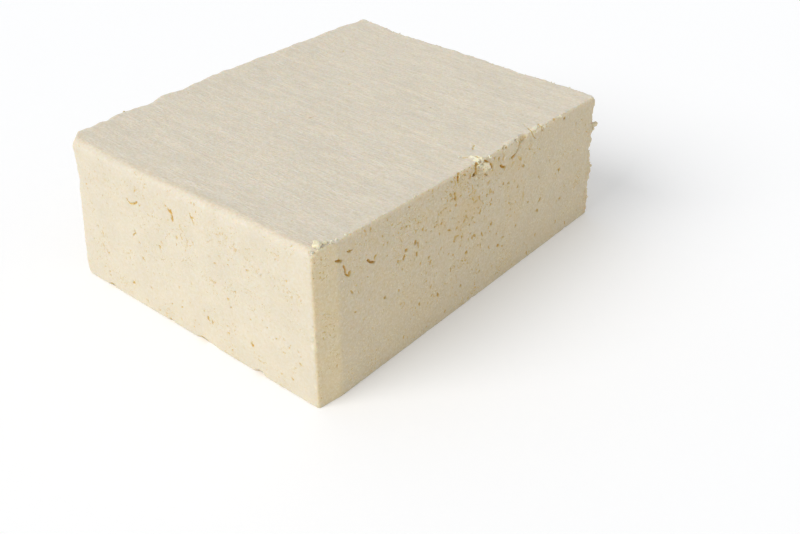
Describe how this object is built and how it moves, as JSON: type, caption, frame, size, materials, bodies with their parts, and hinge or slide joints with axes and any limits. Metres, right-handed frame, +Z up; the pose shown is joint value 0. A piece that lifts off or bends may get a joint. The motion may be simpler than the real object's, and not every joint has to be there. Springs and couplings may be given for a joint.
{
  "type": "tofu block",
  "caption": "Rectangular block of firm pressed tofu with a cloth-marked top, smooth moulded sides, porous knife-cut sides and chipped edges, resting flat on its base.",
  "frame": {"origin": "middle of the base of the block's bounding box", "axes": "+Z up; -Y towards the smooth moulded short side, the front; +X towards the porous knife-cut long side"},
  "size_m": [0.0938, 0.1182, 0.0426],
  "materials": {
    "curd": "pale cream firm soy curd, moist and faintly translucent, with a greyer cloth-pressed skin on top and porous knife-cut sides"
  },
  "bodies": {
    "root": {"tofu_block": "curd"}
  },
  "joints": []
}
